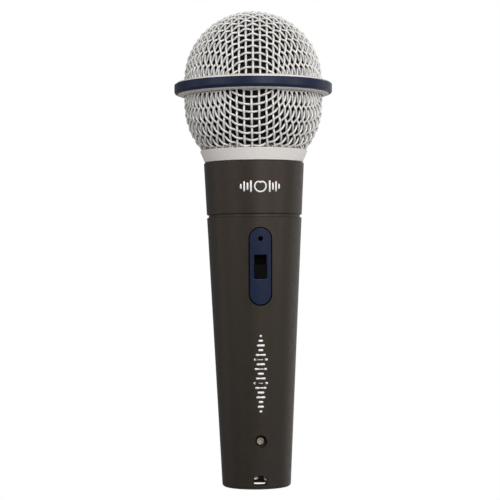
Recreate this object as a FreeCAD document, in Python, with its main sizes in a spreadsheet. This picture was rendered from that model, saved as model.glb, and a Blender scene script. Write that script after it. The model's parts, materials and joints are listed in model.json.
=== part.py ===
"""Hand-held dynamic microphone with a woven-wire ball grille, a slide switch and an XLR socket.

Frame: +Z runs up the axis of the microphone, the origin is the centre of the bottom rim, and the
switch is on the front, which faces -Y. Lengths are millimetres.

The switch parts are drawn in a frame of their own, set on the tapered front face of the handle:
their x runs across the switch, their y into the handle and their z up along the face.
"""
import FreeCAD, Part
import math
import os
import re

import Sketcher
from FreeCAD import Placement, Rotation, Vector

DIMENSIONS = {
    # clearance of pieces that sit snugly in one another
    "fit": 0.05,
    # handle, sleeve and the cone that they share: radius = rim_radius + taper * height
    "rim_radius": 12.27,
    "taper": 0.0495,
    "rim_round": 1.1,
    "edge_break": 0.2,
    "handle_top": 96.3,
    "handle_wall": 2.05,
    "handle_seat_bottom": 91.0,
    "spigot_bottom": 91.3,
    "spigot_radius": 14.93,
    "spigot_seat_radius": 15.0,
    "spigot_bore": 13.0,
    "groove_width": 1.0,
    "groove_floor_radius": 16.4,
    "sleeve_top": 115.9,
    "shelf_bottom": 102.0,
    "shelf_top": 104.0,
    "shelf_bore": 9.6,
    # screw thread that holds the head
    "neck_top": 123.9,
    "neck_bore": 12.9,
    "thread_pitch": 1.5,
    "thread_slope": 0.577,
    "thread_half_crest": 0.125,
    "thread_gap": 0.15,
    "male_root": 14.85,
    "male_crest": 15.6,
    "male_start": 117.5,
    "male_height": 5.4,
    "female_height": 3.75,
    # collar of the head
    "collar_bottom": 116.1,
    "collar_foot_radius": 17.75,
    "collar_rim_radius": 19.3,
    "collar_bead": 0.45,
    "collar_top": 120.4,
    "collar_tube_radius": 16.25,
    "collar_tube_top": 122.6,
    # wire ball
    "mesh_radius": 24.9,
    "mesh_thickness": 1.7,
    "bowl_centre": 136.9,
    "dome_centre": 145.7,
    "bowl_skirt_top": 141.4,
    "dome_skirt_bottom": 143.4,
    "core_bottom": 140.1,
    "core_top": 145.5,
    "core_inner_radius": 23.2,
    "core_foot_radius": 27.2,
    "core_lip_radius": 27.6,
    "core_lip_height": 0.3,
    "core_channel_radius": 26.6,
    "band_bottom": 140.7,
    "band_top": 144.4,
    "band_radius": 28.4,
    "band_round": 0.5,
    "band_foot_round": 1.1,
    "foam_radius": 22.9,
    "foam_thickness": 3.0,
    "foam_bottom": 121.7,
    "foam_bore": 16.5,
    # capsule and its rubber mount
    "capsule_bottom": 105.5,
    "capsule_rear_radius": 10.2,
    "capsule_head_radius": 13.9,
    "capsule_head_bottom": 125.3,
    "capsule_seat": 134.0,
    "capsule_wall": 1.2,
    "mount_bottom": 105.0,
    "mount_flange_radius": 14.8,
    "mount_waist_radius": 11.8,
    "mount_waist_bottom": 109.0,
    "mount_waist_top": 118.0,
    "yoke_bottom": 126.3,
    "yoke_top": 132.8,
    "yoke_radius": 8.05,
    "yoke_bore": 6.55,
    "yoke_base": 2.0,
    "vent_radius": 1.0,
    "magnet_radius": 5.0,
    "magnet_top": 131.2,
    "pole_radius": 5.35,
    "coil_inner_radius": 5.65,
    "coil_outer_radius": 6.25,
    "coil_bottom": 130.6,
    "coil_top": 134.5,
    "film": 0.25,
    "film_bottom": 134.45,
    "film_rim_inner": 11.2,
    "film_rim_outer": 12.5,
    "film_roll_radius": 9.0,
    "film_roll_height": 0.8,
    "film_dome_radius": 6.0,
    "film_dome_top": 136.9,
    "film_dome_curve": 9.447,
    "cap_groove_top": 135.15,
    "cap_groove_inner": 11.0,
    "cap_groove_outer": 12.8,
    "cap_ceiling": 137.6,
    "cap_top": 139.2,
    "cap_hole_radius": 1.3,
    "cap_hole_circle": 6.5,
    "cap_hole_count": 8,
    "cloth_radius": 12.0,
    "cloth_thickness": 0.4,
    "felt_radius": 8.9,
    "felt_thickness": 2.0,
    "tag_gap": 5.0,
    # XLR socket
    "socket_radius": 8.15,
    "insert_bottom": 13.2,
    "insert_top": 21.5,
    "insert_radius": 9.4,
    "insert_bore_top": 25.0,
    "pin_radius": 1.2,
    "pin_tip": 1.8,
    "pin_round": 0.8,
    "pin_top": 24.6,
    "pin_shank_radius": 1.5,
    "pin_cup_radius": 0.75,
    "pin_cup_depth": 2.8,
    "pin_offset": 3.81,
    "pin_boss_radius": 2.0,
    "pin_boss_height": 0.5,
    "ground_tag_width": 3.8,
    "latch_width": 4.9,
    "latch_bottom": 1.6,
    "latch_height": 3.4,
    "latch_round": 1.0,
    "lock_height": 17.1,
    "lock_hole_radius": 2.25,
    "lock_hole_depth": 2.8,
    "lock_shank_radius": 1.0,
    "lock_head_radius": 1.4,
    "lock_head_height": 1.0,
    "lock_shank_length": 4.2,
    "lock_bore_depth": 3.0,
    # slide switch, in its own frame
    "switch_centre": 78.75,
    "plate_width": 7.6,
    "plate_length": 27.0,
    "plate_depth": 1.3,
    "plate_proud": 0.05,
    "recess_gap": 0.4,
    "opening_width": 6.8,
    "opening_length": 23.0,
    "window_width": 4.45,
    "window_length": 8.3,
    "window_centre": -0.2,
    "window_bevel": 0.3,
    "plate_hole_radius": 0.87,
    "plate_hole_up": 9.75,
    "knob_width": 4.2,
    "knob_length": 4.9,
    "knob_height": 1.1,
    "knob_sink": 0.1,
    "knob_travel": 3.2,
    "rib_count": 6,
    "rib_height": 0.3,
    "frame_web": 0.8,
    "frame_width": 6.4,
    "frame_length": 22.0,
    "rail_thickness": 0.6,
    "rail_length": 12.8,
    "rail_depth": 5.6,
    "shutter_thickness": 0.5,
    "shutter_length": 12.0,
    "shutter_width": 4.6,
    "slider_gap": 0.15,
    "shutter_gap": 0.25,
    "housing_width": 5.0,
    "housing_length": 12.6,
    "housing_top": 3.05,
    "housing_bottom": 7.6,
    "channel_width": 3.4,
    "channel_length": 9.2,
    "channel_depth": 1.9,
    "plate_screw_head": 0.5,
    "plate_screw_length": 1.6,
    # wiring
    "lead_radius": 0.5,
}

# The radius of the outer cone at a height, as an expression for the sheet.
CONE = "(rim_radius + taper * ({}))"
CIRCLE = 360

document = FreeCAD.newDocument("microphone")
sheet = document.addObject("Spreadsheet::Sheet", "Dims")
for row, (alias, number) in enumerate(DIMENSIONS.items(), start=1):
    sheet.set("A%d" % row, alias)
    sheet.set("B%d" % row, str(number))
    sheet.setAlias("B%d" % row, alias)
document.recompute()


def bound(text):
    """The expression with each dimension's name pointed at its cell in the sheet."""
    return re.sub(r"[a-z_]+", lambda m: "Dims." + m[0] if m[0] in DIMENSIONS else m[0], str(text))


def value(text):
    """The number that an expression of dimensions comes to now."""
    return float(sheet.evalExpression(bound(text)))


def cone(height):
    """The expression for the handle's outer radius at a height."""
    return CONE.format(height)


TAPER_ANGLE = math.degrees(math.atan(value("taper")))
SWITCH_PLACE = Placement(
    Vector(0, -value(cone("switch_centre")), value("switch_centre")),
    Rotation(Vector(1, 0, 0), TAPER_ANGLE),
)
# How far a sketch of the front face stands off it.
SKETCH_LIFT = 3
# Along the switch: the middle of the knob at the low end of its travel. Into the switch: the back
# of the shutter, and how far the foot reaches behind it.
KNOB_MIDDLE = "(window_centre - knob_travel / 2)"
SHUTTER_BACK = "(housing_top - shutter_gap)"
FOOT_LENGTH = "(channel_depth - film - 2 * slider_gap)"
# Pins 1, 2 and 3, seen from above.
PIN_PLACES = (("-pin_offset", "0"), ("pin_offset", "0"), ("0", "pin_offset"))
# Share of a lead's shorter run that its bend takes.
ARC_SHARE = 0.45


def new_body(name, placement=None):
    body = document.addObject("PartDesign::Body", name)
    body.Label = name
    body.Placement = placement or Placement()
    return body


def new_sketch(body, name, role, offset=None):
    """A sketch on one of the body's own origin planes, moved out along the plane's normal."""
    plane = next(item for item in body.Origin.OriginFeatures if item.Role == role)
    sketch = body.newObject("Sketcher::SketchObject", name)
    sketch.AttachmentSupport = (plane, [""])
    sketch.MapMode = "FlatFace"
    if offset is not None:
        sketch.setExpression("AttachmentOffset.Base.z", bound(offset))
    return sketch


def tie(sketch, kind, first, second, text):
    """One dimension of a sketch, bound to the sheet; a zero one becomes a point on an axis."""
    number = value(text)
    if abs(number) < 1e-9 and kind in ("DistanceX", "DistanceY"):
        axis = -2 if kind == "DistanceX" else -1
        sketch.addConstraint(Sketcher.Constraint("PointOnObject", *second, axis))
        return
    index = sketch.addConstraint(Sketcher.Constraint(kind, *first, *second, number))
    sketch.setExpression("Constraints[%d]" % index, bound(text))


def draw_outline(sketch, corners):
    """A closed outline. A corner is (across, up), or (across, up, centre_across, centre_up) when an
    arc about that centre leads to it. A coordinate that starts with ~ is only a starting value,
    because the arc fixes it."""
    points = [Vector(*[value(str(c).lstrip("~")) for c in corner[:2]], 0) for corner in corners]
    ends = []
    for i, corner in enumerate(corners):
        start, end = points[i - 1], points[i]
        if len(corner) == 2:
            index = sketch.addGeometry(Part.LineSegment(start, end), False)
            ends.append(((index, 1), (index, 2)))
            continue
        centre = Vector(value(corner[2]), value(corner[3]), 0)
        turn = (start - centre).cross(end - centre).z
        first, last = (start, end) if turn > 0 else (end, start)
        angles = [math.atan2(p.y - centre.y, p.x - centre.x) for p in (first, last)]
        if angles[1] < angles[0]:
            angles[1] += 2 * math.pi
        circle = Part.Circle(centre, Vector(0, 0, 1), (start - centre).Length)
        index = sketch.addGeometry(Part.ArcOfCircle(circle, *angles), False)
        ends.append(((index, 1), (index, 2)) if turn > 0 else ((index, 2), (index, 1)))
        tie(sketch, "DistanceX", (-1, 1), (index, 3), corner[2])
        tie(sketch, "DistanceY", (-1, 1), (index, 3), corner[3])
    for i, corner in enumerate(corners):
        arrive, leave = ends[i][1], ends[(i + 1) % len(ends)][0]
        sketch.addConstraint(Sketcher.Constraint("Coincident", *arrive, *leave))
        for kind, text in zip(("DistanceX", "DistanceY"), corner):
            if not str(text).startswith("~"):
                tie(sketch, kind, (-1, 1), arrive, text)


def draw_circle(sketch, across, up, radius):
    centre = Vector(value(across), value(up), 0)
    index = sketch.addGeometry(Part.Circle(centre, Vector(0, 0, 1), value(radius)), False)
    tie(sketch, "Radius", (index,), (), radius)
    tie(sketch, "DistanceX", (-1, 1), (index, 3), across)
    tie(sketch, "DistanceY", (-1, 1), (index, 3), up)


def rectangle(left, right, bottom, top):
    return [(left, bottom), (right, bottom), (right, top), (left, top)]


def sides(width, height, across, up):
    """Left, right, bottom and top of a width and height about a point."""
    half, rise = f"({width}) / 2", f"({height}) / 2"
    return f"{across} - {half}", f"{across} + {half}", f"{up} - {rise}", f"{up} + {rise}"


def centred(width, height, across="0", up="0"):
    """A rectangle of a width and height about a point."""
    return rectangle(*sides(width, height, across, up))


def rounded(width, height, radius, across="0", up="0"):
    """A rectangle about a point with four round corners."""
    left, right, bottom, top = sides(width, height, across, up)
    inner_left, inner_right = f"{left} + {radius}", f"{right} - {radius}"
    inner_bottom, inner_top = f"{bottom} + {radius}", f"{top} - {radius}"
    return [
        (inner_left, "~" + bottom, inner_left, inner_bottom),
        (inner_right, bottom),
        ("~" + right, inner_bottom, inner_right, inner_bottom),
        (right, inner_top),
        (inner_right, "~" + top, inner_right, inner_top),
        (inner_left, top),
        ("~" + left, inner_top, inner_left, inner_top),
        (left, inner_bottom),
    ]


def stadium(width, length):
    """A slot-shaped outline about the origin with half-round ends."""
    half, rise, top = f"({width}) / 2", f"(({length}) - ({width})) / 2", f"({length}) / 2"
    return [
        (half, rise),
        ("0", "~" + top, "0", rise),
        ("~-" + half, rise, "0", rise),
        ("-" + half, "-" + rise),
        ("0", "~-" + top, "0", "-" + rise),
        ("~" + half, "-" + rise, "0", "-" + rise),
    ]


def revolve(body, name, corners):
    """An outline of (radius, height) corners turned about the body's Z axis."""
    sketch = new_sketch(body, name + "_outline", "XZ_Plane")
    draw_outline(sketch, corners)
    feature = body.newObject("PartDesign::Revolution", name)
    feature.Profile = sketch
    feature.ReferenceAxis = (sketch, ["V_Axis"])
    feature.Angle = CIRCLE


def pad(body, name, outlines, length, role="XZ_Plane", offset=None):
    """Outlines on an origin plane, moved out by the offset, made solid along its normal."""
    sketch = new_sketch(body, name + "_outline", role, offset)
    for corners in outlines:
        draw_outline(sketch, corners)
    feature = body.newObject("PartDesign::Pad", name)
    feature.Profile = sketch
    feature.setExpression("Length", bound(length))


def pocket(body, name, sketch, length):
    """Cuts a sketch into the body, against the sketch's normal, and makes sure that it cuts."""
    document.recompute()
    before = body.Shape.Volume
    feature = body.newObject("PartDesign::Pocket", name)
    feature.Profile = sketch
    feature.setExpression("Length", bound(length))
    document.recompute()
    if body.Shape.Volume > before - 1e-3:
        raise RuntimeError(name + " cuts nothing")
    return feature


def front_sketch(body, name, height, outside):
    """A sketch square to the front face of the cone, centred at a height and held outside it."""
    sketch = new_sketch(body, name, "XZ_Plane")
    tilt = Rotation(Vector(1, 0, 0), TAPER_ANGLE)
    surface = Vector(0, value(height), value(cone(height)))
    sketch.AttachmentOffset = Placement(surface + tilt.multVec(Vector(0, 0, outside)), tilt)
    return sketch


def edges_where(feature, test):
    """Names of the edges of a feature of which every sampled point passes the test."""
    names = []
    for index, edge in enumerate(feature.Shape.Edges, start=1):
        if all(test(point) for point in edge.discretize(7)):
            names.append("Edge%d" % index)
    return names


def dress(body, kind, name, base, edges, size):
    """A fillet or chamfer on named edges of the body's last feature."""
    feature = body.newObject("PartDesign::" + kind, name)
    feature.Base = (base, edges)
    feature.setExpression("Radius" if kind == "Fillet" else "Size", bound(size))
    return feature


def thread_ridge(body, name, root, crest, half_root, half_crest, middle, height):
    """A right-handed helical ridge. Its root radius lies just inside the wall that it grows from."""
    sketch = new_sketch(body, name + "_section", "XZ_Plane")
    corners = [
        (root, f"{middle} - ({half_root})"),
        (crest, f"{middle} - ({half_crest})"),
        (crest, f"{middle} + ({half_crest})"),
        (root, f"{middle} + ({half_root})"),
    ]
    draw_outline(sketch, corners)
    helix = body.newObject("PartDesign::AdditiveHelix", name)
    helix.Profile = sketch
    helix.ReferenceAxis = (sketch, ["V_Axis"])
    helix.Mode = 0
    helix.setExpression("Pitch", bound("thread_pitch"))
    helix.setExpression("Height", bound(height))


# ---------------------------------------------------------------- handle and sleeve


def make_lower_handle():
    """Tapered shell: XLR socket at the foot, latch window and lock screw hole in front of it, a
    recess with an opening for the switch, and a bore at the top that takes the sleeve."""
    body = new_body("lower_handle")
    rim = cone("rim_round")
    wall_foot = cone("insert_bore_top") + " - handle_wall"
    wall_head = cone("handle_seat_bottom") + " - handle_wall"
    corners = [
        ("socket_radius + 2 * edge_break", "0"),
        (f"{rim} - rim_round", "0"),
        (f"~{rim}", "rim_round", f"{rim} - rim_round", "rim_round"),
        (cone("handle_top - edge_break"), "handle_top - edge_break"),
        (cone("handle_top") + " - edge_break", "handle_top"),
        ("spigot_seat_radius", "handle_top"),
        ("spigot_seat_radius", "handle_seat_bottom"),
        (wall_head, "handle_seat_bottom"),
        (wall_foot, "insert_bore_top"),
        ("insert_radius + fit", "insert_bore_top"),
        ("insert_radius + fit", "insert_bottom"),
        ("socket_radius", "insert_bottom"),
        ("socket_radius", "2 * edge_break"),
    ]
    revolve(body, "handle_shell", corners)

    outside = "rim_radius * 2"
    latch = new_sketch(body, "latch_window_outline", "XZ_Plane", outside)
    middle = "(latch_bottom + latch_height / 2)"
    draw_outline(latch, rounded("latch_width", "latch_height", "latch_round", up=middle))
    pocket(body, "latch_window", latch, outside + " - socket_radius / 2")

    recess = new_sketch(body, "lock_recess_outline", "XZ_Plane", outside)
    draw_circle(recess, "0", "lock_height", "lock_hole_radius")
    pocket(body, "lock_recess", recess, f"{outside} - {cone('lock_height')} + lock_hole_depth")
    hole = new_sketch(body, "lock_hole_outline", "XZ_Plane", outside)
    draw_circle(hole, "0", "lock_height", "lock_shank_radius + fit")
    pocket(body, "lock_hole", hole, outside + " - insert_radius / 2")

    seat = front_sketch(body, "switch_recess_outline", "switch_centre", SKETCH_LIFT)
    width, length = "plate_width + 2 * recess_gap", "plate_length + 2 * recess_gap"
    draw_outline(seat, stadium(width, length))
    pocket(body, "switch_recess", seat, f"{SKETCH_LIFT} + plate_depth")
    opening = front_sketch(body, "switch_opening_outline", "switch_centre", SKETCH_LIFT)
    draw_outline(opening, centred("opening_width", "opening_length"))
    pocket(body, "switch_opening", opening, f"{SKETCH_LIFT} + 3 * handle_wall")


def make_upper_sleeve():
    """Upper part of the handle: a spigot that fits the lower handle, a shoulder that leaves a fine
    groove round the outside, a shelf that carries the rubber mount, and the threaded neck."""
    body = new_body("upper_sleeve")
    foot = "handle_top + groove_width"
    corners = [
        ("spigot_bore", "spigot_bottom"),
        ("spigot_radius", "spigot_bottom"),
        ("spigot_radius", "handle_top"),
        ("groove_floor_radius", "handle_top"),
        ("groove_floor_radius", foot),
        (cone(foot) + " - edge_break", foot),
        (cone(foot + " + edge_break"), foot + " + edge_break"),
        (cone("sleeve_top - edge_break"), "sleeve_top - edge_break"),
        (cone("sleeve_top") + " - edge_break", "sleeve_top"),
        ("male_root", "sleeve_top"),
        ("male_root", "neck_top"),
        ("neck_bore", "neck_top"),
        ("neck_bore", "shelf_top"),
        ("shelf_bore", "shelf_top"),
        ("shelf_bore", "shelf_bottom"),
        ("spigot_bore", "shelf_bottom"),
    ]
    revolve(body, "sleeve_shell", corners)
    root = "(male_root - thread_gap)"
    half_root = f"thread_half_crest + thread_slope * (male_crest - {root})"
    thread_ridge(
        body, "male_thread", root, "male_crest", half_root, "thread_half_crest",
        "male_start", "male_height",
    )


# ---------------------------------------------------------------- head: collar, wire ball, ring


def make_grille_collar():
    """Flared ring at the foot of the ball, with the female thread inside. Its ridge runs midway
    between the turns of the male thread, with the gap on either flank."""
    body = new_body("grille_collar")
    bore = "(male_crest + thread_gap)"
    bead = "collar_foot_radius - collar_bead"
    corners = [
        (bore, "collar_bottom"),
        (bead, "collar_bottom"),
        ("~collar_foot_radius", "collar_bottom + collar_bead", bead, "collar_bottom + collar_bead"),
        ("collar_rim_radius", "collar_top - edge_break"),
        ("collar_rim_radius - edge_break", "collar_top"),
        ("collar_tube_radius", "collar_top"),
        ("collar_tube_radius", "collar_tube_top"),
        (bore, "collar_tube_top"),
    ]
    revolve(body, "collar_shell", corners)
    root = f"({bore} + thread_gap)"
    crest = "(male_root + thread_gap)"
    middle = "(male_start + thread_pitch / 2)"
    # At any radius the ridge fills what the male groove leaves, less the gap on each flank.
    free = "(thread_pitch / 2 - thread_half_crest - thread_gap * sqrt(1 + thread_slope ^ 2))"
    half_crest = f"{free} - thread_slope * (male_crest - {crest})"
    half_root = f"{free} + thread_slope * ({root} - male_crest)"
    thread_ridge(
        body, "female_thread", root, crest, half_root, half_crest, middle, "female_height"
    )


def sphere_cut(radius, centre, height):
    """The expression for a sphere's radius at a height."""
    return f"sqrt(({radius}) ^ 2 - ({height} - {centre}) ^ 2)"


def make_grille_bowl_mesh():
    """Lower half of the wire ball, as a shell as thick as the woven wire."""
    body = new_body("grille_bowl_mesh")
    inner = "(mesh_radius - mesh_thickness)"
    outer_foot = sphere_cut("mesh_radius", "bowl_centre", "collar_top")
    inner_foot = sphere_cut(inner, "bowl_centre", "collar_top")
    corners = [
        ("mesh_radius", "bowl_skirt_top"),
        ("mesh_radius", "bowl_centre"),
        ("~" + outer_foot, "collar_top", "0", "bowl_centre"),
        ("~" + inner_foot, "collar_top"),
        (inner, "bowl_centre", "0", "bowl_centre"),
        (inner, "bowl_skirt_top"),
    ]
    revolve(body, "bowl_shell", corners)


def make_grille_dome_mesh():
    """Upper half of the wire ball: a round-topped shell with a straight skirt."""
    body = new_body("grille_dome_mesh")
    inner = "(mesh_radius - mesh_thickness)"
    corners = [
        (inner, "dome_skirt_bottom"),
        ("mesh_radius", "dome_skirt_bottom"),
        ("mesh_radius", "dome_centre"),
        ("0", "~dome_centre + mesh_radius", "0", "dome_centre"),
        ("0", f"dome_centre + {inner}"),
        (f"~{inner}", "dome_centre", "0", "dome_centre"),
    ]
    revolve(body, "dome_shell", corners)


def make_grille_ring_core():
    """Silver ring that holds the edges of both mesh halves and carries the band in a channel."""
    body = new_body("grille_ring_core")
    seat = "(mesh_radius + fit)"
    corners = [
        (seat, "core_bottom"),
        (seat + " + edge_break", "core_bottom"),
        ("core_foot_radius - edge_break", "band_bottom - edge_break"),
        ("core_foot_radius", "band_bottom"),
        ("core_channel_radius", "band_bottom"),
        ("core_channel_radius", "band_top"),
        ("core_lip_radius", "band_top"),
        ("core_lip_radius", "band_top + core_lip_height"),
        ("core_lip_radius - edge_break", "band_top + core_lip_height + edge_break"),
        (seat + " + edge_break", "core_top"),
        (seat, "core_top"),
        (seat, "dome_skirt_bottom"),
        ("core_inner_radius", "dome_skirt_bottom"),
        ("core_inner_radius", "bowl_skirt_top"),
        (seat, "bowl_skirt_top"),
    ]
    revolve(body, "core_ring", corners)


def make_grille_band():
    """Coloured band in the ring's channel, with rounded outer edges, the lower one rounder."""
    body = new_body("grille_band")
    flat = "(band_radius - band_round)"
    foot, rise = "(band_radius - band_foot_round)", "band_bottom + band_foot_round"
    corners = [
        ("core_channel_radius + fit", "band_bottom"),
        (foot, "band_bottom"),
        ("~band_radius", rise, foot, rise),
        ("band_radius", "band_top - band_round"),
        (flat, "~band_top", flat, "band_top - band_round"),
        ("core_channel_radius + fit", "band_top"),
    ]
    revolve(body, "band_ring", corners)


def make_windscreen_foam():
    """Foam lining behind the mesh: round at both ends, straight between, and open at the foot, where
    a thin lip reaches down outside the collar's tube."""
    body = new_body("windscreen_foam")
    inner = "(foam_radius - foam_thickness)"
    lip_top = f"bowl_centre - sqrt({inner} ^ 2 - foam_bore ^ 2)"
    corners = [
        ("foam_radius", "bowl_centre", "0", "bowl_centre"),
        ("foam_radius", "dome_centre"),
        ("0", "~dome_centre + foam_radius", "0", "dome_centre"),
        ("0", f"dome_centre + {inner}"),
        (f"~{inner}", "dome_centre", "0", "dome_centre"),
        (inner, "bowl_centre"),
        ("foam_bore", "~" + lip_top, "0", "bowl_centre"),
        ("foam_bore", "foam_bottom"),
        ("~" + sphere_cut("foam_radius", "bowl_centre", "foam_bottom"), "foam_bottom"),
    ]
    revolve(body, "foam_shell", corners)


# ---------------------------------------------------------------- capsule


def make_shock_mount():
    """Rubber sleeve between neck and capsule, thinner at its waist, with a flange on the neck."""
    body = new_body("shock_mount")
    corners = [
        ("capsule_rear_radius + fit", "mount_bottom"),
        ("neck_bore - fit", "mount_bottom"),
        ("neck_bore - fit", "mount_waist_bottom"),
        ("mount_waist_radius", "mount_waist_bottom"),
        ("mount_waist_radius", "mount_waist_top"),
        ("neck_bore - fit", "mount_waist_top"),
        ("neck_bore - fit", "neck_top"),
        ("mount_flange_radius", "neck_top"),
        ("mount_flange_radius", "capsule_head_bottom"),
        ("capsule_rear_radius + fit", "capsule_head_bottom"),
    ]
    revolve(body, "mount_ring", corners)


def make_capsule_housing():
    """Stepped cup: air chamber below, seat for the magnet system and rim for the diaphragm."""
    body = new_body("capsule_housing")
    chamber = "(capsule_rear_radius - capsule_wall)"
    lip = "(yoke_radius - 2 * capsule_wall)"
    corners = [
        ("tag_gap / 2 + vent_radius", "capsule_bottom"),
        ("capsule_rear_radius", "capsule_bottom"),
        ("capsule_rear_radius", "capsule_head_bottom"),
        ("capsule_head_radius", "capsule_head_bottom"),
        ("capsule_head_radius", "capsule_seat"),
        ("cap_groove_inner", "capsule_seat"),
        ("cap_groove_inner", "yoke_top - capsule_wall"),
        ("yoke_radius + fit", "yoke_top - capsule_wall"),
        ("yoke_radius + fit", "yoke_bottom"),
        (lip, "yoke_bottom"),
        (lip, "yoke_bottom - capsule_wall"),
        (chamber, "yoke_bottom - capsule_wall"),
        (chamber, "capsule_bottom + capsule_wall"),
        ("tag_gap / 2 + vent_radius", "capsule_bottom + capsule_wall"),
    ]
    revolve(body, "housing_cup", corners)


def make_magnet_system():
    """Yoke, ring magnet and pole plate, stacked about one vent hole."""
    base_top = "(yoke_bottom + yoke_base)"
    yoke = [
        ("vent_radius", "yoke_bottom"),
        ("yoke_radius", "yoke_bottom"),
        ("yoke_radius", "yoke_top"),
        ("yoke_bore", "yoke_top"),
        ("yoke_bore", base_top),
        ("vent_radius", base_top),
    ]
    revolve(new_body("yoke"), "yoke_pot", yoke)
    magnet = rectangle("vent_radius", "magnet_radius", base_top, "magnet_top")
    revolve(new_body("magnet"), "magnet_ring", magnet)
    plate = rectangle("vent_radius", "pole_radius", "magnet_top", "yoke_top")
    revolve(new_body("pole_plate"), "pole_disc", plate)


def make_moving_coil():
    """Voice coil and the domed film that it drives; the film's rim floats in the clamping groove."""
    coil = rectangle("coil_inner_radius", "coil_outer_radius", "coil_bottom", "coil_top")
    revolve(new_body("voice_coil"), "coil_winding", coil)
    top = "(film_bottom + film)"
    centre = "(film_dome_top - film_dome_curve)"
    under = "(film_dome_curve - film)"
    dome_edge = f"{centre} + sqrt(film_dome_curve ^ 2 - film_dome_radius ^ 2)"
    under_edge = f"{centre} + sqrt({under} ^ 2 - coil_inner_radius ^ 2)"
    corners = [
        ("coil_inner_radius", "coil_top"),
        ("coil_outer_radius + film", "coil_top"),
        ("film_roll_radius", f"{top} + film_roll_height - film"),
        ("film_rim_inner", "film_bottom"),
        ("film_rim_outer", "film_bottom"),
        ("film_rim_outer", top),
        ("film_rim_inner", top),
        ("film_roll_radius", f"{top} + film_roll_height"),
        ("film_dome_radius", dome_edge),
        ("0", "~film_dome_top", "0", centre),
        ("0", "film_dome_top - film"),
        ("coil_inner_radius", f"~{under_edge}", "0", centre),
    ]
    revolve(new_body("capsule_diaphragm"), "film_disc", corners)


def make_capsule_front_cap():
    """Cap that clamps the diaphragm's rim, with a ring of sound holes and one in the middle."""
    body = new_body("capsule_front_cap")
    corners = [
        ("cap_hole_radius", "cap_ceiling"),
        ("cap_groove_inner", "cap_ceiling"),
        ("cap_groove_inner", "cap_groove_top"),
        ("cap_groove_outer", "cap_groove_top"),
        ("cap_groove_outer", "capsule_seat"),
        ("capsule_head_radius", "capsule_seat"),
        ("capsule_head_radius", "cap_top"),
        ("cap_hole_radius", "cap_top"),
    ]
    revolve(body, "cap_disc", corners)
    above = "cap_top + capsule_wall"
    hole = new_sketch(body, "sound_hole_outline", "XY_Plane", above)
    draw_circle(hole, "cap_hole_circle", "0", "cap_hole_radius")
    first = pocket(body, "sound_hole", hole, f"{above} - cap_ceiling + capsule_wall")
    pattern = body.newObject("PartDesign::PolarPattern", "sound_holes")
    pattern.Originals = [first]
    pattern.Axis = (hole, ["N_Axis"])
    pattern.Angle = CIRCLE
    pattern.setExpression("Occurrences", bound("cap_hole_count"))
    body.Tip = pattern


def make_capsule_trim():
    """Cloth over the cap, felt in the air chamber, and the terminal board with its two tags."""
    cloth = rectangle("0", "cloth_radius", "cap_top", "cap_top + cloth_thickness")
    revolve(new_body("capsule_cloth"), "cloth_disc", cloth)
    floor = "(capsule_bottom + capsule_wall)"
    felt = rectangle("0", "felt_radius", floor, f"{floor} + felt_thickness")
    revolve(new_body("rear_felt"), "felt_disc", felt)
    board = rectangle("0", "felt_radius", "capsule_bottom - capsule_wall", "capsule_bottom")
    revolve(new_body("capsule_terminal_board"), "board_disc", board)
    tags = [centred("capsule_wall", "film * 2", side + "tag_gap / 2") for side in ("-", "")]
    under = "(capsule_bottom - capsule_wall - tag_gap / 2)"
    pad(new_body("capsule_terminals"), "tags", tags, "tag_gap / 2", "XY_Plane", under)


# ---------------------------------------------------------------- slide switch


def make_switch_plate():
    """Slot-shaped plate that follows the handle's surface, with a bevelled window for the knob and
    a stepped hole for its screw."""
    body = new_body("switch_plate", SWITCH_PLACE)
    lift = "plate_depth"
    pad(body, "plate_blank", [stadium("plate_width", "plate_length")], f"plate_depth + {lift}",
        offset="-plate_depth")
    trim = new_sketch(body, "plate_trim_outline", "YZ_Plane")
    depth = "(" + cone("switch_centre") + " * sqrt(1 + taper ^ 2))"
    draw_outline(trim, rectangle(f"-2 * {lift}", "-plate_proud", "-plate_length", "plate_length"))
    start, end = Vector(value(depth), -1, 0), Vector(value(depth), 1, 0)
    axis = trim.addGeometry(Part.LineSegment(start, end), True)
    for point, up in ((1, -1), (2, 1)):
        tie(trim, "DistanceX", (-1, 1), (axis, point), depth)
        tie(trim, "DistanceY", (-1, 1), (axis, point), str(up))
    surface = body.newObject("PartDesign::Groove", "plate_surface")
    surface.Profile = trim
    surface.ReferenceAxis = (trim, ["Axis0"])
    surface.Angle = CIRCLE

    window = new_sketch(body, "plate_window_outline", "XZ_Plane", lift)
    corners = rounded("window_width", "window_length", "window_bevel", up="window_centre")
    draw_outline(window, corners)
    pocket(body, "plate_window", window, f"{lift} + plate_depth")
    hole = new_sketch(body, "plate_hole_outline", "XZ_Plane", lift)
    draw_circle(hole, "0", "plate_hole_up", "plate_hole_radius")
    pocket(body, "plate_hole", hole, f"{lift} + plate_depth * 0.6")
    shank = new_sketch(body, "plate_shank_outline", "XZ_Plane", lift)
    draw_circle(shank, "0", "plate_hole_up", "plate_hole_radius * 0.6")
    last = pocket(body, "plate_shank_hole", shank, f"{lift} + plate_depth")

    centre_depth = value(depth)
    outer = centre_depth + value("plate_proud") - 0.01
    reach_x, reach_up = value("window_width") / 2 + 0.1, value("window_length") / 2 + 0.5

    def on_surface(point):
        return math.hypot(point.x, point.y - centre_depth) > outer

    def by_window(point):
        return on_surface(point) and abs(point.x) < reach_x and abs(point.z) < reach_up

    def by_rim(point):
        in_middle = abs(point.x) < reach_x and abs(point.z) < value("plate_hole_up + 2")
        return on_surface(point) and not in_middle

    bevel = dress(body, "Chamfer", "window_edge", last, edges_where(last, by_window), "window_bevel")
    document.recompute()
    dress(body, "Fillet", "plate_edge", bevel, edges_where(bevel, by_rim), "edge_break")


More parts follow.
